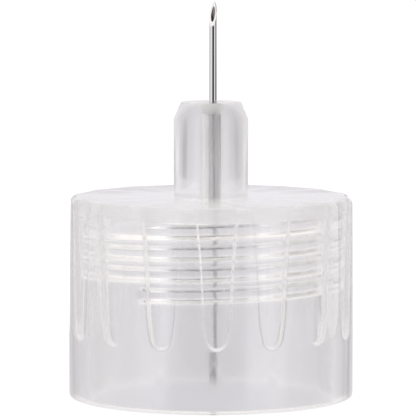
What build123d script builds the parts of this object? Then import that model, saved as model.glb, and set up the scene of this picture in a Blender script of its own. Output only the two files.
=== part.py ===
from build123d import *
import os
from math import cos, radians, sin, tan

# A double-ended injection needle on a moulded screw hub, lying ready to use:
# no outer cover, no inner shield and no paper seal.
# Frame: +Z runs along the hub axis towards the patient end, the origin is the
# centre of the rim plane at the pen end.  All lengths in millimetres.

# ---- skirt of the hub ------------------------------------------------------
BAND_RADIUS = 5.670         # plain cylindrical band at the rim
BAND_HEIGHT = 2.460         # rim plane to where the mould draft starts
SHOULDER_RADIUS = 5.655     # outer radius at the shoulder, after the draft
SKIRT_HEIGHT = 8.000        # rim plane to flat shoulder
SHOULDER_FILLET = 0.280     # round between the shoulder and the outer wall
RIM_FILLET = 0.120          # round on the outer rim edge
SOCKET_RADIUS = 4.850       # thread root and plain lead-in
SOCKET_DEPTH = 7.350        # rim plane to the inside of the end wall
SOCKET_FILLET = 0.300       # round in the corner between the end wall and the socket wall
MOUTH_CHAMFER = 0.100       # lead-in chamfer at the mouth

# ---- grip flutes on the outside -------------------------------------------
FLUTE_COUNT = 16
FLUTE_PHASE = 2.3           # degrees, first flute right of the front (-Y)
FLUTE_FLOOR = 5.410         # distance of the flat floor from the axis
FLUTE_WALL_LEAN = 16.0      # degrees, the side walls open outwards
FLUTE_CUT_HEIGHT = 0.600    # from the floor to well outside the wall
# outline of the floor: half width and height above the rim
FLUTE_END = (0.000, 2.560)
FLUTE_END_SIDE = (0.345, 2.870)
FLUTE_LOW = (0.445, 3.450)
FLUTE_WAIST = (0.495, 4.000)
FLUTE_UPPER = (0.605, 6.000)
FLUTE_OPEN = (0.840, 8.350)  # runs out above the shoulder

# ---- internal pen thread, one start, right-handed --------------------------
THREAD_PITCH = 0.820
THREAD_CREST_RADIUS = 4.600
THREAD_ROOT_HALF = 0.310    # half width of the ridge at the socket wall
THREAD_CREST_HALF = 0.135   # half width of the ridge at its crest
THREAD_START_ANGLE = -33.0  # degrees, right of the front, where it begins
THREAD_START_Z = 4.490      # ridge centre at the start
THREAD_TURNS = 3.33         # runs out into the end wall
THREAD_EMBED = 0.100        # how far the ridge body reaches into the wall

# ---- post that carries the needle ------------------------------------------
POST_RADIUS = 1.485
POST_TOP = 11.750           # rim plane to the flat top of the post
POST_CHAMFER_Z = 11.070     # where the steep top cone starts
POST_TOP_RADIUS = 1.200
POST_TOP_ROUND = 0.120
WELL_RADIUS = 0.560         # glue well at the top of the post
WELL_BOTTOM = 11.150
BORE_RADIUS = 0.260         # bore through post, end wall and inner boss
BOSS_TIP_Z = 6.700          # inner boss under the end wall
BOSS_TIP_RADIUS = 0.600
BOSS_ROOT_RADIUS = 0.800

# ---- needle tube ------------------------------------------------------------
NEEDLE_RADIUS = 0.150
LUMEN_RADIUS = 0.085
NEEDLE_OFFSET = 0.085       # the tube stands this far to +X in its bore
TIP_Z = 15.750              # patient point
REAR_Z = 0.300              # pen-side point, inside the socket
BEVEL_LENGTH = 1.050        # primary bevel of the patient point
BEVEL_TURN = 24.0           # degrees, bevel faces this far left of the front
LANCET_ANGLE = 22.0         # degrees between lancet facets and the axis
LANCET_TURN = 35.0          # degrees each lancet facet is turned about the axis
REAR_BEVEL_LENGTH = 0.900

# ---- adhesive ---------------------------------------------------------------
GLUE_TOP = 11.710           # a little below the flat top of the post
GLUE_BOTTOM = 7.000

os.makedirs("parts", exist_ok=True)


# ---------------------------------------------------------------------------
# hub: one moulding, turned section first
# ---------------------------------------------------------------------------
with BuildSketch(Plane.XZ) as hub_section:
    with BuildLine() as hub_outline:
        Polyline(
            (BORE_RADIUS, BOSS_TIP_Z),
            (BOSS_TIP_RADIUS, BOSS_TIP_Z),
            (BOSS_ROOT_RADIUS, SOCKET_DEPTH),
            (SOCKET_RADIUS, SOCKET_DEPTH),
            (SOCKET_RADIUS, MOUTH_CHAMFER),
            (SOCKET_RADIUS + MOUTH_CHAMFER, 0),
            (BAND_RADIUS, 0),
            (BAND_RADIUS, BAND_HEIGHT),
            (SHOULDER_RADIUS, SKIRT_HEIGHT),
            (POST_RADIUS, SKIRT_HEIGHT),
            (POST_RADIUS, POST_CHAMFER_Z),
            (POST_TOP_RADIUS, POST_TOP),
            (WELL_RADIUS, POST_TOP),
            (BORE_RADIUS, WELL_BOTTOM),
            close=True,
        )
    make_face()
    shoulder_corner = hub_section.vertices().sort_by_distance((SHOULDER_RADIUS, SKIRT_HEIGHT))[0]
    fillet(shoulder_corner, radius=SHOULDER_FILLET)
    rim_corner = hub_section.vertices().sort_by_distance((BAND_RADIUS, 0))[0]
    fillet(rim_corner, radius=RIM_FILLET)
    post_corner = hub_section.vertices().sort_by_distance((POST_TOP_RADIUS, POST_TOP))[0]
    fillet(post_corner, radius=POST_TOP_ROUND)
    socket_corner = hub_section.vertices().sort_by_distance((SOCKET_RADIUS, SOCKET_DEPTH))[0]
    fillet(socket_corner, radius=SOCKET_FILLET)

# one grip flute, as the body that is taken out of the wall
flute_direction = radians(-90.0 + FLUTE_PHASE)
flute_plane = Plane(
    origin=(FLUTE_FLOOR * cos(flute_direction), FLUTE_FLOOR * sin(flute_direction), 0),
    x_dir=(-sin(flute_direction), cos(flute_direction), 0),
    z_dir=(cos(flute_direction), sin(flute_direction), 0),
)
with BuildPart() as flute:
    for rise in (0.0, FLUTE_CUT_HEIGHT):
        grow = rise * tan(radians(FLUTE_WALL_LEAN))
        end_side = (FLUTE_END_SIDE[0] + 0.9 * grow, FLUTE_END_SIDE[1] - 0.3 * grow)
        low = (FLUTE_LOW[0] + grow, FLUTE_LOW[1] - 0.1 * grow)
        waist = (FLUTE_WAIST[0] + grow, FLUTE_WAIST[1] - 0.1 * grow)
        upper = (FLUTE_UPPER[0] + grow, FLUTE_UPPER[1] - 0.1 * grow)
        wide = (FLUTE_OPEN[0] + grow, FLUTE_OPEN[1])
        with BuildSketch(flute_plane.offset(rise)):
            with BuildLine():
                ThreePointArc(
                    (-end_side[0], end_side[1]), (FLUTE_END[0], FLUTE_END[1] - grow), end_side
                )
                ThreePointArc(end_side, low, waist)
                ThreePointArc(waist, upper, wide)
                Line(wide, (-wide[0], wide[1]))
                ThreePointArc((-wide[0], wide[1]), (-upper[0], upper[1]), (-waist[0], waist[1]))
                ThreePointArc((-waist[0], waist[1]), (-low[0], low[1]), (-end_side[0], end_side[1]))
            make_face()
    loft(ruled=True)

# thread ridge: a trapezoid swept along the helix, reaching into the wall
with BuildPart() as thread:
    with BuildLine(Plane.XY.offset(THREAD_START_Z)) as thread_path:
        Helix(
            pitch=THREAD_PITCH,
            height=THREAD_PITCH * THREAD_TURNS,
            radius=SOCKET_RADIUS,
        )
    with BuildSketch(
        Plane(origin=(SOCKET_RADIUS, 0, THREAD_START_Z), x_dir=(1, 0, 0), z_dir=(0, 1, 0))
    ):
        with BuildLine():
            Polyline(
                (THREAD_EMBED, -THREAD_ROOT_HALF),
                (0, -THREAD_ROOT_HALF),
                (THREAD_CREST_RADIUS - SOCKET_RADIUS, -THREAD_CREST_HALF),
                (THREAD_CREST_RADIUS - SOCKET_RADIUS, THREAD_CREST_HALF),
                (0, THREAD_ROOT_HALF),
                (THREAD_EMBED, THREAD_ROOT_HALF),
                close=True,
            )
        make_face()
    sweep(path=thread_path.wires()[0], is_frenet=True)

with BuildPart() as hub:
    add(hub_section.sketch)
    revolve(axis=Axis.Z)
    with PolarLocations(0, FLUTE_COUNT):
        add(flute.part, mode=Mode.SUBTRACT)
    add(thread.part, rotation=(0, 0, -90.0 + THREAD_START_ANGLE))
hub.part.label = "hub"
export_step(hub.part, "parts/hub.step")


# ---------------------------------------------------------------------------
# cannula: a steel tube ground to a point at both ends
# ---------------------------------------------------------------------------
facing = radians(-90.0 - BEVEL_TURN)            # the way the bevel looks
bevel_x, bevel_y = cos(facing), sin(facing)
side_x, side_y = -bevel_y, bevel_x

tip_point = (NEEDLE_OFFSET - NEEDLE_RADIUS * bevel_x, -NEEDLE_RADIUS * bevel_y, TIP_Z)
bevel_plane = Plane(
    origin=tip_point,
    x_dir=(side_x, side_y, 0),
    z_dir=(BEVEL_LENGTH * bevel_x, BEVEL_LENGTH * bevel_y, 2 * NEEDLE_RADIUS),
)
lancet_planes = []
for turn in (-LANCET_TURN, LANCET_TURN):
    look = facing + radians(turn)
    lancet_planes.append(
        Plane(
            origin=tip_point,
            x_dir=(-sin(look), cos(look), 0),
            z_dir=(
                cos(radians(LANCET_ANGLE)) * cos(look),
                cos(radians(LANCET_ANGLE)) * sin(look),
                sin(radians(LANCET_ANGLE)),
            ),
        )
    )
rear_plane = Plane(
    origin=(NEEDLE_OFFSET - NEEDLE_RADIUS * bevel_x, -NEEDLE_RADIUS * bevel_y, REAR_Z),
    x_dir=(side_x, side_y, 0),
    z_dir=(REAR_BEVEL_LENGTH * bevel_x, REAR_BEVEL_LENGTH * bevel_y, -2 * NEEDLE_RADIUS),
)

with BuildPart() as cannula:
    with BuildSketch(Plane.XY.offset(REAR_Z)):
        with Locations((NEEDLE_OFFSET, 0)):
            Circle(NEEDLE_RADIUS)
            Circle(LUMEN_RADIUS, mode=Mode.SUBTRACT)
    extrude(amount=TIP_Z - REAR_Z)
    split(bisect_by=bevel_plane, keep=Keep.BOTTOM)
    for lancet_plane in lancet_planes:
        split(bisect_by=lancet_plane, keep=Keep.BOTTOM)
    split(bisect_by=rear_plane, keep=Keep.BOTTOM)
cannula.part.label = "cannula"
export_step(cannula.part, "parts/cannula.step")


# ---------------------------------------------------------------------------
# adhesive: cured in the well and down the bore, round the tube
# ---------------------------------------------------------------------------
glue_top_radius = BORE_RADIUS + (WELL_RADIUS - BORE_RADIUS) * (GLUE_TOP - WELL_BOTTOM) / (POST_TOP - WELL_BOTTOM)
with BuildPart() as adhesive:
    with BuildSketch(Plane.XZ):
        with BuildLine():
            Polyline(
                (0, GLUE_BOTTOM),
                (BORE_RADIUS, GLUE_BOTTOM),
                (BORE_RADIUS, WELL_BOTTOM),
                (glue_top_radius, GLUE_TOP),
                (0, GLUE_TOP),
                close=True,
            )
        make_face()
    revolve(axis=Axis.Z)
    with BuildSketch(Plane.XY.offset(GLUE_BOTTOM)):
        with Locations((NEEDLE_OFFSET, 0)):
            Circle(NEEDLE_RADIUS)
    extrude(amount=GLUE_TOP - GLUE_BOTTOM, mode=Mode.SUBTRACT)
adhesive.part.label = "adhesive"
export_step(adhesive.part, "parts/adhesive.step")
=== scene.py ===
from math import atan2, cos, pi, radians, sin, sqrt, tan

import bmesh
import bpy
from mathutils import Matrix, Vector


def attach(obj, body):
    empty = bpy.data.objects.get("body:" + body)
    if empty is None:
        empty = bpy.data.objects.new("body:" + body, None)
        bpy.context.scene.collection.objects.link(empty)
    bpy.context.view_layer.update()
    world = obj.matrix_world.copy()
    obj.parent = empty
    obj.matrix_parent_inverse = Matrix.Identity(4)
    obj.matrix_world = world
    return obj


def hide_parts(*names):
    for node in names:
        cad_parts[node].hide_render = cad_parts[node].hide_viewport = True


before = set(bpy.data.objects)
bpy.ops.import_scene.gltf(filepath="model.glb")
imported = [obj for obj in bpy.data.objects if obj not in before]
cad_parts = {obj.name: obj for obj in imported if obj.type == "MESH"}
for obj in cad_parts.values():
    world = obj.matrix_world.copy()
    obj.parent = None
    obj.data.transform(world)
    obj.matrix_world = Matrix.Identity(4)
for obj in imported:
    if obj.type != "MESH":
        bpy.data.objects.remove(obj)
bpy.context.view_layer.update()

MM = 0.001

# ---------------------------------------------------------------------------
# dimensions in millimetres, the same as the part's own
# ---------------------------------------------------------------------------
BAND_R, BAND_H, SHOULDER_R, SKIRT_H = 5.670, 2.460, 5.655, 8.000
SHOULDER_FILLET, RIM_FILLET = 0.280, 0.120
SOCKET_R, SOCKET_D, SOCKET_ROUND, MOUTH = 4.850, 7.350, 0.140, 0.100
FLUTES, FLUTE_PHASE, FLUTE_FLOOR = 16, 2.3, 5.410
PITCH, THREAD_DEPTH, THREAD_MID, THREAD_FLANK = 0.820, 0.250, 0.2225, 0.300
THREAD_START, THREAD_Z, THREAD_TURNS = -33.0, 4.490, 3.33
POST_R, POST_TOP, POST_CONE_Z, POST_TOP_R, POST_ROUND = 1.485, 11.750, 11.070, 1.200, 0.120
WELL_R, WELL_Z, BORE_R = 0.560, 11.150, 0.260
BOSS_Z, BOSS_TIP_R, BOSS_R = 6.700, 0.600, 0.800
TUBE_R, LUMEN_R, TUBE_X, TIP_Z, REAR_Z = 0.150, 0.085, 0.085, 15.750, 0.300
BEVEL, BEVEL_TURN, LANCET, LANCET_TURN, REAR_BEVEL = 1.050, 24.0, 22.0, 35.0, 0.900
GLUE_TOP, GLUE_Z = 11.710, 7.000


# ---------------------------------------------------------------------------
# small mesh helpers
# ---------------------------------------------------------------------------
def make_object(name, bm, materials=()):
    me = bpy.data.meshes.new(name)
    bm.to_mesh(me)
    bm.free()
    ob = bpy.data.objects.new(name, me)
    bpy.context.scene.collection.objects.link(ob)
    for m in materials:
        me.materials.append(m)
    return ob


def turned(profile, segments, start=0.0):
    """A closed turned solid from a closed (r, z) outline in mm that may touch the axis."""
    bm = bmesh.new()
    rings = []
    for r, z in profile:
        if r < 1e-9:
            rings.append([bm.verts.new((0, 0, z * MM))])
        else:
            rings.append([
                bm.verts.new((r * MM * cos(start + 2 * pi * i / segments), r * MM * sin(start + 2 * pi * i / segments), z * MM))
                for i in range(segments)
            ])
    n = len(rings)
    for k in range(n):
        a, b = rings[k], rings[(k + 1) % n]
        if len(a) == 1 and len(b) == 1:
            continue
        for i in range(segments):
            j = (i + 1) % segments
            if len(a) == 1:
                bm.faces.new((a[0], b[i], b[j]))
            elif len(b) == 1:
                bm.faces.new((a[i], b[0], a[j]))
            else:
                bm.faces.new((a[i], b[i], b[j], a[j]))
    bmesh.ops.recalc_face_normals(bm, faces=bm.faces)
    return bm


def rounded(points, radii, steps=6):
    """The outline with chosen corners rounded; radii is {index: radius}."""
    out = []
    n = len(points)
    for i, p in enumerate(points):
        if i not in radii:
            out.append(p)
            continue
        p = Vector(p)
        a = (Vector(points[i - 1]) - p).normalized()
        b = (Vector(points[(i + 1) % n]) - p).normalized()
        half = a.angle(b) / 2
        reach = radii[i] / tan(half)
        start, end = p + a * reach, p + b * reach
        centre = p + (a + b).normalized() * (radii[i] / sin(half))
        u, v = start - centre, end - centre
        sweep = u.angle(v)
        for s in range(steps + 1):
            w = s / steps
            q = centre + (u * sin((1 - w) * sweep) + v * sin(w * sweep)) / sin(sweep)
            out.append((q.x, q.y))
    return out


def combine(base, other, operation):
    """base with other joined on or cut away, exactly; other is removed."""
    mod = base.modifiers.new("join", "BOOLEAN")
    mod.operation = operation
    mod.solver = "EXACT"
    mod.object = other
    bpy.context.view_layer.update()
    done = bpy.data.meshes.new_from_object(base.evaluated_get(bpy.context.evaluated_depsgraph_get()))
    base.modifiers.clear()
    old = base.data
    done.name = old.name
    base.data = done
    bpy.data.meshes.remove(old)
    gone = other.data
    bpy.data.objects.remove(other)
    bpy.data.meshes.remove(gone)
    return base


def finish_mesh(ob, angle=30.0):
    bm = bmesh.new()
    bm.from_mesh(ob.data)
    bmesh.ops.remove_doubles(bm, verts=bm.verts, dist=2e-7)
    bmesh.ops.dissolve_degenerate(bm, edges=bm.edges, dist=1e-7)
    bmesh.ops.triangulate(bm, faces=[f for f in bm.faces if len(f.verts) > 4])
    bmesh.ops.recalc_face_normals(bm, faces=bm.faces)
    bm.to_mesh(ob.data)
    bm.free()
    ob.data.shade_smooth()
    for f in ob.data.polygons:
        f.use_smooth = abs(f.normal.z) < 0.99995
    ob.data.set_sharp_from_angle(angle=radians(angle))
    # flat faces keep their own normal beside a round
    mod = ob.modifiers.new("even", "WEIGHTED_NORMAL")
    mod.mode = "FACE_AREA"
    mod.weight = 60
    mod.keep_sharp = True
    bpy.context.view_layer.update()
    done = bpy.data.meshes.new_from_object(ob.evaluated_get(bpy.context.evaluated_depsgraph_get()))
    ob.modifiers.clear()
    old = ob.data
    done.name = old.name
    ob.data = done
    bpy.data.meshes.remove(old)


# ---------------------------------------------------------------------------
# materials
# ---------------------------------------------------------------------------
def new_material(name):
    m = bpy.data.materials.new(name)
    m.use_nodes = True
    nt = m.node_tree
    return m, nt, nt.nodes["Principled BSDF"]


def link(nt, a, b):
    nt.links.new(a, b)


def object_noise(nt, scale, detail=3.0, rough=0.5, stretch=(1, 1, 1)):
    co = nt.nodes.new("ShaderNodeTexCoord")
    mp = nt.nodes.new("ShaderNodeMapping")
    mp.inputs["Scale"].default_value = stretch
    tx = nt.nodes.new("ShaderNodeTexNoise")
    tx.inputs["Scale"].default_value = scale
    tx.inputs["Detail"].default_value = detail
    tx.inputs["Roughness"].default_value = rough
    link(nt, co.outputs["Object"], mp.inputs["Vector"])
    link(nt, mp.outputs["Vector"], tx.inputs["Vector"])
    return tx


def ramp(nt, source, low, high, a=0.3, b=0.7):
    mr = nt.nodes.new("ShaderNodeMapRange")
    mr.inputs["From Min"].default_value = a
    mr.inputs["From Max"].default_value = b
    mr.inputs["To Min"].default_value = low
    mr.inputs["To Max"].default_value = high
    link(nt, source, mr.inputs["Value"])
    return mr.outputs["Result"]


def math_node(nt, operation, a, b=None):
    n = nt.nodes.new("ShaderNodeMath")
    n.operation = operation
    for k, v in enumerate((a, b)):
        if v is None:
            continue
        if isinstance(v, (int, float)):
            n.inputs[k].default_value = v
        else:
            link(nt, v, n.inputs[k])
    return n.outputs[0]


def blend(nt, factor, a, b):
    n = nt.nodes.new("ShaderNodeMix")
    for name, v in (("Factor", factor), ("A", a), ("B", b)):
        if isinstance(v, (int, float)):
            n.inputs[name].default_value = v
        else:
            link(nt, v, n.inputs[name])
    return n.outputs["Result"]


def haze(material, density, colour, forward):
    """Fine scattering inside the plastic."""
    nt = material.node_tree
    sc = nt.nodes.new("ShaderNodeVolumeScatter")
    sc.inputs["Color"].default_value = (*colour, 1)
    sc.inputs["Density"].default_value = density
    sc.inputs["Anisotropy"].default_value = forward
    link(nt, sc.outputs["Volume"], nt.nodes["Material Output"].inputs["Volume"])


# moulded plastic: gloss outside, satin in the socket
hub_plastic, nt, p = new_material("hub_polypropylene")
p.inputs["Base Color"].default_value = (1.0, 1.0, 1.0, 1)
p.inputs["Transmission Weight"].default_value = 1.0
p.inputs["IOR"].default_value = 1.49
where = nt.nodes.new("ShaderNodeTexCoord")
sep = nt.nodes.new("ShaderNodeSeparateXYZ")
link(nt, where.outputs["Object"], sep.inputs["Vector"])
hx, hy, hz = sep.outputs["X"], sep.outputs["Y"], sep.outputs["Z"]
axis_r = math_node(nt, "SQRT", math_node(nt, "ADD", math_node(nt, "MULTIPLY", hx, hx), math_node(nt, "MULTIPLY", hy, hy)))
in_socket = math_node(nt, "MULTIPLY",
                      math_node(nt, "LESS_THAN", axis_r, (SOCKET_R + 0.02) * MM),
                      math_node(nt, "LESS_THAN", hz, (SOCKET_D + 0.01) * MM))
in_bore = math_node(nt, "LESS_THAN", axis_r, (BORE_R + 0.01) * MM)
inside = math_node(nt, "MAXIMUM", in_socket, in_bore)
grain = object_noise(nt, 900.0)
rough_out = ramp(nt, grain.outputs["Fac"], 0.03, 0.07)
rough_in = ramp(nt, grain.outputs["Fac"], 0.14, 0.19)
link(nt, blend(nt, inside, rough_out, rough_in), p.inputs["Roughness"])
# outside, faint flow waves of the moulding; inside, the grain of a spark-eroded core
flow = object_noise(nt, 225.0, detail=2.0)
bp = nt.nodes.new("ShaderNodeBump")
bp.inputs["Strength"].default_value = 0.02
bp.inputs["Distance"].default_value = 0.00002
link(nt, flow.outputs["Fac"], bp.inputs["Height"])
spark = object_noise(nt, 15000.0, detail=2.0)
sb = nt.nodes.new("ShaderNodeBump")
sb.inputs["Strength"].default_value = 0.6
sb.inputs["Distance"].default_value = 0.000004
link(nt, math_node(nt, "MULTIPLY", spark.outputs["Fac"], inside), sb.inputs["Height"])
link(nt, bp.outputs["Normal"], sb.inputs["Normal"])
link(nt, sb.outputs["Normal"], p.inputs["Normal"])
haze(hub_plastic, 500.0, (0.9998, 0.9996, 1.0), 0.92)


# ---------------------------------------------------------------------------
# hub
# ---------------------------------------------------------------------------
SEG = 384
outline = [
    (BORE_R, BOSS_Z),
    (BOSS_TIP_R, BOSS_Z),
    (BOSS_R, SOCKET_D),
    (SOCKET_R, SOCKET_D),
    (SOCKET_R, MOUTH),
    (SOCKET_R + MOUTH, 0),
    (BAND_R, 0),
    (BAND_R, BAND_H),
    (SHOULDER_R, SKIRT_H),
    (POST_R, SKIRT_H),
    (POST_R, POST_CONE_Z),
    (POST_TOP_R, POST_TOP),
    (WELL_R, POST_TOP),
    (BORE_R, WELL_Z),
]
outline = rounded(outline, {3: SOCKET_ROUND, 6: RIM_FILLET, 8: SHOULDER_FILLET, 11: POST_ROUND}, steps=8)
hub = make_object("hub_moulding", turned(outline, SEG), [hub_plastic])


def arc(a, b, c, steps):
    """Points along the circle through a, b and c, from a to c, c left out."""
    (ax, ay), (bx, by), (cx, cy) = a, b, c
    d = 2 * (ax * (by - cy) + bx * (cy - ay) + cx * (ay - by))
    ux = ((ax**2 + ay**2) * (by - cy) + (bx**2 + by**2) * (cy - ay) + (cx**2 + cy**2) * (ay - by)) / d
    uy = ((ax**2 + ay**2) * (cx - bx) + (bx**2 + by**2) * (ax - cx) + (cx**2 + cy**2) * (bx - ax)) / d
    o = Vector((ux, uy))
    u, v, w = Vector(a) - o, Vector(b) - o, Vector(c) - o
    total = u.angle_signed(v) + v.angle_signed(w)
    out = []
    for s in range(steps):
        t = -total * s / steps
        out.append((o.x + u.x * cos(t) - u.y * sin(t), o.y + u.x * sin(t) + u.y * cos(t)))
    return out


def flute_outline(g):
    """Outline of a flute at the distance g outside the floor's own outline."""
    side = (0.345 + 0.9 * g, 2.870 - 0.3 * g)
    low = (0.445 + g, 3.450 - 0.1 * g)
    waist = (0.495 + g, 4.000 - 0.1 * g)
    upper = (0.605 + g, 6.000 - 0.1 * g)
    wide = (0.840 + g, 8.350)
    mirror = lambda p: (-p[0], p[1])
    pts = arc(mirror(side), (0, 2.560 - g), side, 18)
    pts += arc(side, low, waist, 8) + arc(waist, upper, wide, 16) + [wide]
    pts += [mirror(wide)] + arc(mirror(wide), mirror(upper), mirror(waist), 16)[1:] + arc(mirror(waist), mirror(low), mirror(side), 8)
    return pts


# side wall of a flute, floor first: (outwards from the floor's outline, rise);
# a rise above 5 is counted from the local outer surface, less 10
FLUTE_WALL = [
    (-0.050, 0.0), (-0.022, 0.006), (0.000, 0.026), (0.012, 0.055), (0.042, 9.930), (0.055, 9.958),
    (0.078, 9.980), (0.115, 9.994), (0.165, 10.004), (0.300, 10.030), (0.300, 10.300),
]
bm = bmesh.new()
for k in range(FLUTES):
    a = radians(-90 + FLUTE_PHASE + 360 * k / FLUTES)
    outward, across = Vector((cos(a), sin(a), 0)), Vector((-sin(a), cos(a), 0))
    loops = []
    for out, rise in FLUTE_WALL:
        loop = []
        for u, z in flute_outline(out):
            up = rise if rise < 5 else sqrt(BAND_R**2 - u * u) - FLUTE_FLOOR + rise - 10
            loop.append(bm.verts.new((outward * (FLUTE_FLOOR + up) + across * u + Vector((0, 0, z))) * MM))
        loops.append(loop)
    n = len(loops[0])
    bm.faces.new(loops[0][::-1])
    bmesh.ops.triangulate(bm, faces=[bm.faces.new(loops[-1])])
    for low, high in zip(loops, loops[1:]):
        for i in range(n):
            bm.faces.new((low[i], low[(i + 1) % n], high[(i + 1) % n], high[i]))
# the flutes end in the shoulder with a round along their floor
TOP_ROUND = 0.120
for step in range(9):
    z = SKIRT_H - TOP_ROUND * cos(pi / 2 * step / 8)
    bmesh.ops.bisect_plane(bm, geom=bm.verts[:] + bm.edges[:] + bm.faces[:], plane_co=(0, 0, z * MM), plane_no=(0, 0, 1), dist=1e-9)
for v in bm.verts:
    above = v.co.z / MM - (SKIRT_H - TOP_ROUND)
    if above <= 0:
        continue
    turn = round((atan2(v.co.y, v.co.x) - radians(-90 + FLUTE_PHASE)) / (2 * pi / FLUTES)) * 2 * pi / FLUTES + radians(-90 + FLUTE_PHASE)
    outward = Vector((cos(turn), sin(turn), 0))
    rise = v.co.dot(outward) / MM - FLUTE_FLOOR
    part = min(1.0, max(0.0, (0.115 - rise) / 0.055))
    v.co -= outward * (part * (TOP_ROUND - sqrt(max(0.0, TOP_ROUND**2 - min(above, TOP_ROUND)**2))) * MM)
bmesh.ops.recalc_face_normals(bm, faces=bm.faces)
cutters = make_object("flute_cutters", bm)
combine(hub, cutters, "DIFFERENCE")


# over part of its last turn the ridge has no upper flank: it merges with the end wall
FILL_FROM, FILL_TO, FILL_TURNS = 2.860, 3.060, 0.080


def thread_height(angle, z):
    """Height of the thread over the socket wall, mm; angle in radians."""
    first = (angle - radians(-90 + THREAD_START)) / (2 * pi) % 1.0
    best = 0.0
    for k in range(-1, 5):
        turn = first + k
        lead = min(1.0, max(0.0, turn * 2 * pi * SOCKET_R / 0.30 + 0.5))
        if lead == 0.0 or turn > THREAD_TURNS + 0.6:
            continue
        t = (THREAD_MID + THREAD_FLANK / 2 - abs(z - THREAD_Z - PITCH * turn)) / THREAD_FLANK
        t = min(1.0, max(0.0, t))
        if z > THREAD_Z + PITCH * turn:
            t = max(t, min(1.0, max(0.0, (turn - FILL_FROM) / FILL_TURNS), max(0.0, (FILL_TO - turn) / FILL_TURNS)))
        best = max(best, THREAD_DEPTH * t * t * (3 - 2 * t) * lead * lead * (3 - 2 * lead))
    return best


# the socket wall with its thread, in place of the plain wall
THREAD_ROWS, LOW_Z, WALL_TOP = 100, 3.980, SOCKET_D - SOCKET_ROUND
bm = bmesh.new()
bm.from_mesh(hub.data)
bm.verts.ensure_lookup_table()
plain = [f for f in bm.faces if all(abs(v.co.xy.length / MM - SOCKET_R) < 0.001 for v in f.verts)]
bmesh.ops.delete(bm, geom=plain, context="FACES")
top, low = {}, {}
for v in bm.verts:
    if abs(v.co.xy.length / MM - SOCKET_R) < 0.001:
        at = round((atan2(v.co.y, v.co.x) % (2 * pi)) / (2 * pi) * SEG) % SEG
        (top if v.co.z / MM > WALL_TOP - 0.01 else low)[at] = v
rows = [[low[i] for i in range(SEG)]]
for r in range(THREAD_ROWS):
    z = LOW_Z + (WALL_TOP - LOW_Z) * r / THREAD_ROWS
    row = []
    for i in range(SEG):
        angle = 2 * pi * i / SEG
        d = SOCKET_R - thread_height(angle, z)
        row.append(bm.verts.new(Vector((d * cos(angle), d * sin(angle), z)) * MM))
    rows.append(row)
rows.append([top[i] for i in range(SEG)])
# the ridge runs out in the round under the end wall
for v in bm.verts:
    r, z = v.co.xy.length / MM, v.co.z / MM
    if SOCKET_R - SOCKET_ROUND + 0.01 < r < SOCKET_R + 0.01 and WALL_TOP - 0.001 < z < SOCKET_D - 0.001:
        d = min(r, SOCKET_R - thread_height(atan2(v.co.y, v.co.x), z))
        v.co.x, v.co.y = v.co.x * d / r, v.co.y * d / r
for a, b in zip(rows, rows[1:]):
    for i in range(SEG):
        j = (i + 1) % SEG
        bm.faces.new((a[i], a[j], b[j], b[i]))
bm.to_mesh(hub.data)
bm.free()
finish_mesh(hub)

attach(hub, "root")
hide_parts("hub")


# ---------------------------------------------------------------------------
# needle tube
# ---------------------------------------------------------------------------
def steel(name, colour, rough, stretch, scale, bump):
    m, nt, p = new_material(name)
    p.inputs["Base Color"].default_value = (*colour, 1)
    p.inputs["Metallic"].default_value = 1.0
    grain = object_noise(nt, scale, stretch=stretch)
    link(nt, ramp(nt, grain.outputs["Fac"], rough * 0.8, rough * 1.25), p.inputs["Roughness"])
    bp = nt.nodes.new("ShaderNodeBump")
    bp.inputs["Strength"].default_value = bump
    bp.inputs["Distance"].default_value = 0.000003
    link(nt, grain.outputs["Fac"], bp.inputs["Height"])
    link(nt, bp.outputs["Normal"], p.inputs["Normal"])
    return m


tube_steel = steel("tube_steel", (0.56, 0.56, 0.57), 0.03, (1, 1, 0.02), 9000.0, 0.1)
ground_steel = steel("ground_steel", (0.74, 0.73, 0.72), 0.25, (1, 1, 6), 6000.0, 0.2)
# the bore's wall: rougher steel, with its colour darkened to paint the shade inside the narrow bore
lumen_steel_painted_shade = steel("lumen_steel_painted_shade", (0.30, 0.28, 0.27), 0.45, (1, 1, 0.05), 6000.0, 0.2)

ring = []
bm = bmesh.new()
N = 96
loops = []
for r, z in ((TUBE_R, REAR_Z), (TUBE_R, TIP_Z), (LUMEN_R, TIP_Z), (LUMEN_R, REAR_Z)):
    loops.append([
        bm.verts.new(Vector((TUBE_X + r * cos(2 * pi * i / N), r * sin(2 * pi * i / N), z)) * MM) for i in range(N)
    ])
for k in range(4):
    a, b = loops[k], loops[(k + 1) % 4]
    for i in range(N):
        bm.faces.new((a[i], b[i], b[(i + 1) % N], a[(i + 1) % N]))
bmesh.ops.recalc_face_normals(bm, faces=bm.faces)
tube = make_object("needle_tube", bm, [tube_steel, ground_steel, lumen_steel_painted_shade])


def cut_away(ob, point, normal):
    """Takes off what lies beyond the plane, on the normal's side."""
    normal = Vector(normal).normalized()
    side = normal.orthogonal().normalized()
    other = normal.cross(side)
    bm = bmesh.new()
    o = Vector(point) * MM
    s, d = 0.02, 0.03
    low, high = [], []
    for a, b in ((-s, -s), (s, -s), (s, s), (-s, s)):
        low.append(bm.verts.new(o + side * a + other * b))
        high.append(bm.verts.new(o + side * a + other * b + normal * d))
    bm.faces.new(low[::-1])
    bm.faces.new(high)
    for i in range(4):
        bm.faces.new((low[i], low[(i + 1) % 4], high[(i + 1) % 4], high[i]))
    bmesh.ops.recalc_face_normals(bm, faces=bm.faces)
    combine(ob, make_object("cutter", bm), "DIFFERENCE")


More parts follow.
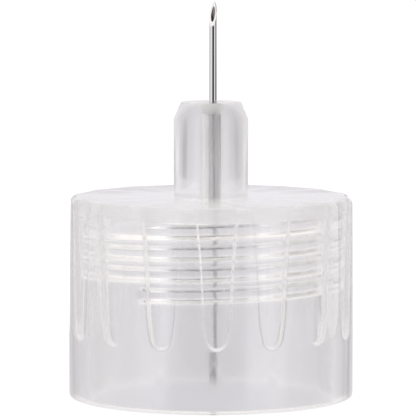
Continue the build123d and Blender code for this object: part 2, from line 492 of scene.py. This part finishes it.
facing = radians(-90 - BEVEL_TURN)
bx, by = cos(facing), sin(facing)
tip = (TUBE_X - TUBE_R * bx, -TUBE_R * by, TIP_Z)
cut_away(tube, tip, (BEVEL * bx, BEVEL * by, 2 * TUBE_R))
for turn in (-LANCET_TURN, LANCET_TURN):
    look = facing + radians(turn)
    cut_away(tube, tip, (cos(radians(LANCET)) * cos(look), cos(radians(LANCET)) * sin(look), sin(radians(LANCET))))
cut_away(tube, (TUBE_X - TUBE_R * bx, -TUBE_R * by, REAR_Z), (REAR_BEVEL * bx, REAR_BEVEL * by, -2 * TUBE_R))
finish_mesh(tube)
# faces that face into the bore get the steel darkened with painted shade
for f in tube.data.polygons:
    c = f.center / MM
    r = sqrt((c.x - TUBE_X)**2 + c.y**2)
    radial = Vector((c.x - TUBE_X, c.y, 0)).normalized()
    if abs(f.normal.z) > 0.02:
        f.material_index = 1
    elif f.normal.dot(radial) < 0:
        f.material_index = 2
    else:
        f.material_index = 0
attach(tube, "root")
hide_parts("cannula")


# ---------------------------------------------------------------------------
# adhesive
# ---------------------------------------------------------------------------
def adhesive(name, density):
    m, nt, p = new_material(name)
    p.inputs["Base Color"].default_value = (1.0, 1.0, 0.995, 1)
    p.inputs["Transmission Weight"].default_value = 1.0
    p.inputs["IOR"].default_value = 1.49
    grain = object_noise(nt, 2500.0)
    link(nt, ramp(nt, grain.outputs["Fac"], 0.08, 0.18), p.inputs["Roughness"])
    haze(m, density, (0.9998, 0.9996, 0.9990), 0.5)
    return m


# clear down the bore and milky in the well; wetting the tube and the moulding,
# but for a film of air down the left side of the bore
SHIFT, WET = 0.004, 0.002
glue_r = BORE_R + (WELL_R - BORE_R) * (GLUE_TOP - WELL_Z) / (POST_TOP - WELL_Z)
for name, material, profile, shift in (
    ("adhesive_bore", adhesive("cured_adhesive_clear", 250.0),
     [(0, GLUE_Z), (BORE_R, GLUE_Z), (BORE_R, WELL_Z + 2 * WET), (0, WELL_Z + 2 * WET)], SHIFT),
    ("adhesive_well", adhesive("cured_adhesive_milky", 9000.0),
     [(0, WELL_Z), (BORE_R + WET, WELL_Z), (glue_r + WET, GLUE_TOP), (0, GLUE_TOP)], 0.0),
):
    bm = turned(profile, 96)
    bmesh.ops.translate(bm, verts=bm.verts, vec=(shift * MM, 0, 0))
    glue = make_object(name, bm, [material])
    bm = bmesh.new()
    bottom = [bm.verts.new(Vector((TUBE_X + (TUBE_R - WET) * cos(2 * pi * i / 64), (TUBE_R - WET) * sin(2 * pi * i / 64), GLUE_Z - 1)) * MM) for i in range(64)]
    top = [bm.verts.new(v.co + Vector((0, 0, (GLUE_TOP - GLUE_Z + 2) * MM))) for v in bottom]
    bm.faces.new(bottom[::-1])
    bm.faces.new(top)
    for i in range(64):
        bm.faces.new((bottom[i], bottom[(i + 1) % 64], top[(i + 1) % 64], top[i]))
    bmesh.ops.recalc_face_normals(bm, faces=bm.faces)
    combine(glue, make_object("glue_core", bm), "DIFFERENCE")
    finish_mesh(glue)
    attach(glue, "root")
    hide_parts("adhesive")


# ---------------------------------------------------------------------------
# camera
# ---------------------------------------------------------------------------
DIST, HEIGHT, PITCH_DOWN = 132.57, 19.566, 0.0912
focal_px = 25.0 * sqrt(DIST**2 + (HEIGHT - 4.0)**2)
cam = bpy.data.cameras.new("camera")
cam.sensor_fit = "VERTICAL"
cam.sensor_height = 36.0
cam.sensor_width = 36.0
cam.lens = focal_px * 36.0 / 419.0
cam.clip_start = 0.01
cam.clip_end = 20.0
cam_ob = bpy.data.objects.new("camera", cam)
aside = -(210.978 - 208.0) / focal_px * DIST
cam_ob.location = Vector((aside, -DIST, HEIGHT)) * MM
cam_ob.rotation_euler = (pi / 2 - PITCH_DOWN, 0, 0)
bpy.context.scene.collection.objects.link(cam_ob)
bpy.context.scene.camera = cam_ob


# ---------------------------------------------------------------------------
# floor and light
# ---------------------------------------------------------------------------
FLOOR_GLOW, FLOOR_WHITE, WORLD = 0.96, 0.10, 0.85

fm, nt, p = new_material("pale_floor")
p.inputs["Base Color"].default_value = (FLOOR_WHITE, FLOOR_WHITE, FLOOR_WHITE, 1)
p.inputs["Roughness"].default_value = 0.7
p.inputs["Specular IOR Level"].default_value = 0.0
p.inputs["Emission Color"].default_value = (1, 1, 1, 1)
p.inputs["Emission Strength"].default_value = FLOOR_GLOW
bm = bmesh.new()
bmesh.ops.create_grid(bm, x_segments=1, y_segments=1, size=3.0)
for v in bm.verts:
    v.co.z = -0.00002
floor = make_object("floor", bm, [fm])
floor.visible_glossy = False
floor.visible_transmission = False
floor.visible_volume_scatter = False


def around(azimuth, distance, height):
    """Azimuth from the camera's side, to the right."""
    a = radians(azimuth - 90)
    return (distance * cos(a), distance * sin(a), height)


def soft_light(name, location, target, size_x, size_y, radiance, colour=(1, 1, 1)):
    li = bpy.data.lights.new(name, "AREA")
    li.shape = "RECTANGLE"
    li.size, li.size_y = size_x, size_y
    li.energy = radiance * pi * size_x * size_y
    li.color = colour
    ob = bpy.data.objects.new(name, li)
    ob.location = location
    d = Vector(target) - Vector(location)
    ob.rotation_euler = d.to_track_quat("-Z", "Y").to_euler()
    ob.visible_camera = False
    ob.visible_glossy = False
    ob.visible_transmission = False
    ob.visible_volume_scatter = False
    bpy.context.scene.collection.objects.link(ob)
    return ob


def panels(nt, value, cloths):
    """A curve over 0..1 through the brightness (up to 2) of cloths side by side, given as (from, to, level) in degrees."""
    points = []
    for a, b, level in cloths:
        points += [(a + 0.28 * (b - a), level), (b - 0.28 * (b - a), level)]
    r = nt.nodes.new("ShaderNodeValToRGB")
    r.color_ramp.interpolation = "EASE"
    ends = r.color_ramp.elements
    ends[0].position, ends[1].position = points[0][0] / 180, points[-1][0] / 180
    for at, level in points[1:-1]:
        ends.new(at / 180)
    for e, (at, level) in zip(ends, points):
        e.color = (level / 2, level / 2, level / 2, 1)
    link(nt, value, r.inputs["Fac"])
    return math_node(nt, "MULTIPLY", r.outputs["Color"], 2.0)


def smooth_step(nt, value, a, b):
    m = nt.nodes.new("ShaderNodeMapRange")
    m.interpolation_type = "SMOOTHSTEP"
    m.inputs["From Min"].default_value = a
    m.inputs["From Max"].default_value = b
    link(nt, value, m.inputs["Value"])
    return m.outputs["Result"]


def mix_colour(nt, factor, a, b):
    m = nt.nodes.new("ShaderNodeMix")
    m.data_type = "RGBA"
    for sock, v in ((m.inputs["Factor"], factor), (m.inputs[6], a), (m.inputs[7], b)):
        if isinstance(v, tuple):
            sock.default_value = (*v, 1)
        else:
            link(nt, v, sock)
    return m.outputs[2]


# light tent round the object, seen only in reflections and through the plastic.
# Its cloths are given by azimuth from the camera's side, (from, to, brightness),
# at the left and the right, in rows one above the other; it is dark at the camera
LEVEL_LEFT = [
    (0, 15, 0.01), (15, 36, 0.02), (36, 48, 1.30), (48, 62, 1.38), (62, 76, 0.95), (76, 92, 0.95),
    (92, 112, 0.90), (112, 133, 0.82), (133, 142, 0.50), (142, 151, 0.30), (151, 160, 0.50), (160, 180, 0.68),
]
LEVEL_RIGHT = [
    (0, 15, 0.01), (15, 28, 0.02), (28, 45, 1.20), (45, 62, 1.38), (62, 76, 0.50), (76, 92, 0.18),
    (92, 112, 0.45), (112, 133, 1.00), (133, 142, 0.46), (142, 151, 0.10), (151, 160, 0.54), (160, 180, 0.70),
]
RAISED_LEFT = [
    (0, 16, 0.01), (16, 35, 0.02), (35, 62, 1.38), (62, 110, 1.10), (110, 150, 0.84), (150, 180, 0.87),
]
RAISED_RIGHT = [
    (0, 16, 0.01), (16, 30, 0.02), (30, 64, 1.42), (64, 74, 0.70), (74, 90, 0.35), (90, 110, 0.85), (110, 150, 0.94), (150, 180, 0.88),
]
HIGH = [
    (0, 45, 0.70), (45, 110, 1.05), (110, 180, 1.15),
]
LOW = [
    (0, 45, 0.22), (45, 120, 0.68), (120, 180, 0.53),
]
DEEP = [
    (0, 45, 0.20), (45, 120, 0.60), (120, 180, 0.80),
]
TOP, BOTTOM = 1.12, 0.86
WARM, COOL, UPPER = (1.03, 1.00, 0.955), (1.00, 0.982, 1.022), (1.045, 1.005, 0.95)

tm, nt, p = new_material("tent_cloth")
where = nt.nodes.new("ShaderNodeTexCoord")
sep = nt.nodes.new("ShaderNodeSeparateXYZ")
link(nt, where.outputs["Object"], sep.inputs["Vector"])
tx, ty, tz = sep.outputs["X"], sep.outputs["Y"], sep.outputs["Z"]
reach = math_node(nt, "SQRT", math_node(nt, "ADD", math_node(nt, "MULTIPLY", tx, tx), math_node(nt, "MULTIPLY", ty, ty)))
turn = math_node(nt, "DIVIDE", math_node(nt, "ABSOLUTE", math_node(nt, "ARCTAN2", tx, math_node(nt, "MULTIPLY", ty, -1.0))), pi)
rise = math_node(nt, "MULTIPLY", math_node(nt, "ARCTAN2", tz, reach), 180 / pi)
on_right = math_node(nt, "GREATER_THAN", tx, 0.0)
level = blend(nt, on_right, panels(nt, turn, LEVEL_LEFT), panels(nt, turn, LEVEL_RIGHT))
raised = blend(nt, on_right, panels(nt, turn, RAISED_LEFT), panels(nt, turn, RAISED_RIGHT))
cloth = blend(nt, smooth_step(nt, rise, -1, 4), level, raised)
cloth = blend(nt, smooth_step(nt, rise, 35, 45), cloth, panels(nt, turn, HIGH))
cloth = blend(nt, smooth_step(nt, rise, 60, 70), cloth, TOP)
cloth = blend(nt, smooth_step(nt, rise, -12, -18), cloth, panels(nt, turn, LOW))
cloth = blend(nt, smooth_step(nt, rise, -19, -26), cloth, panels(nt, turn, DEEP))
cloth = blend(nt, smooth_step(nt, rise, -40, -50), cloth, BOTTOM)
warmth = math_node(nt, "MULTIPLY", smooth_step(nt, turn, 40 / 180, 75 / 180), smooth_step(nt, turn, 125 / 180, 105 / 180))
tint = mix_colour(nt, warmth, COOL, WARM)
tint = mix_colour(nt, smooth_step(nt, rise, 35, 45), tint, UPPER)
glow = nt.nodes.new("ShaderNodeEmission")
link(nt, tint, glow.inputs["Color"])
link(nt, cloth, glow.inputs["Strength"])
link(nt, glow.outputs["Emission"], nt.nodes["Material Output"].inputs["Surface"])
tm.cycles.emission_sampling = "NONE"
bm = bmesh.new()
bmesh.ops.create_icosphere(bm, subdivisions=5, radius=0.12)
for f in bm.faces:
    f.smooth = True
tent = make_object("tent", bm, [tm])
tent.location = (0, 0, 0.006)
tent.visible_camera = False
tent.visible_shadow = False
tent.visible_diffuse = False

soft_light("softbox_left", around(-68, 0.5, 0.26), (0, 0, 0.008), 0.55, 0.5, 1.3)
soft_light("softbox_right", around(68, 0.5, 0.26), (0, 0, 0.008), 0.55, 0.5, 1.3)
soft_light("top_light", (0, 0.05, 0.8), (0, 0, 0), 0.8, 0.8, 0.6)

world = bpy.data.worlds.new("studio")
bpy.context.scene.world = world
world.use_nodes = True
bg = world.node_tree.nodes["Background"]
bg.inputs["Color"].default_value = (1, 1, 1, 1)
bg.inputs["Strength"].default_value = WORLD

scene = bpy.context.scene
scene.view_settings.view_transform = "Standard"
scene.view_settings.look = "None"
scene.cycles.max_bounces = 128
scene.cycles.transmission_bounces = 128
scene.cycles.glossy_bounces = 128
scene.cycles.transparent_max_bounces = 32
scene.cycles.volume_bounces = 128
scene.cycles.blur_glossy = 0.0
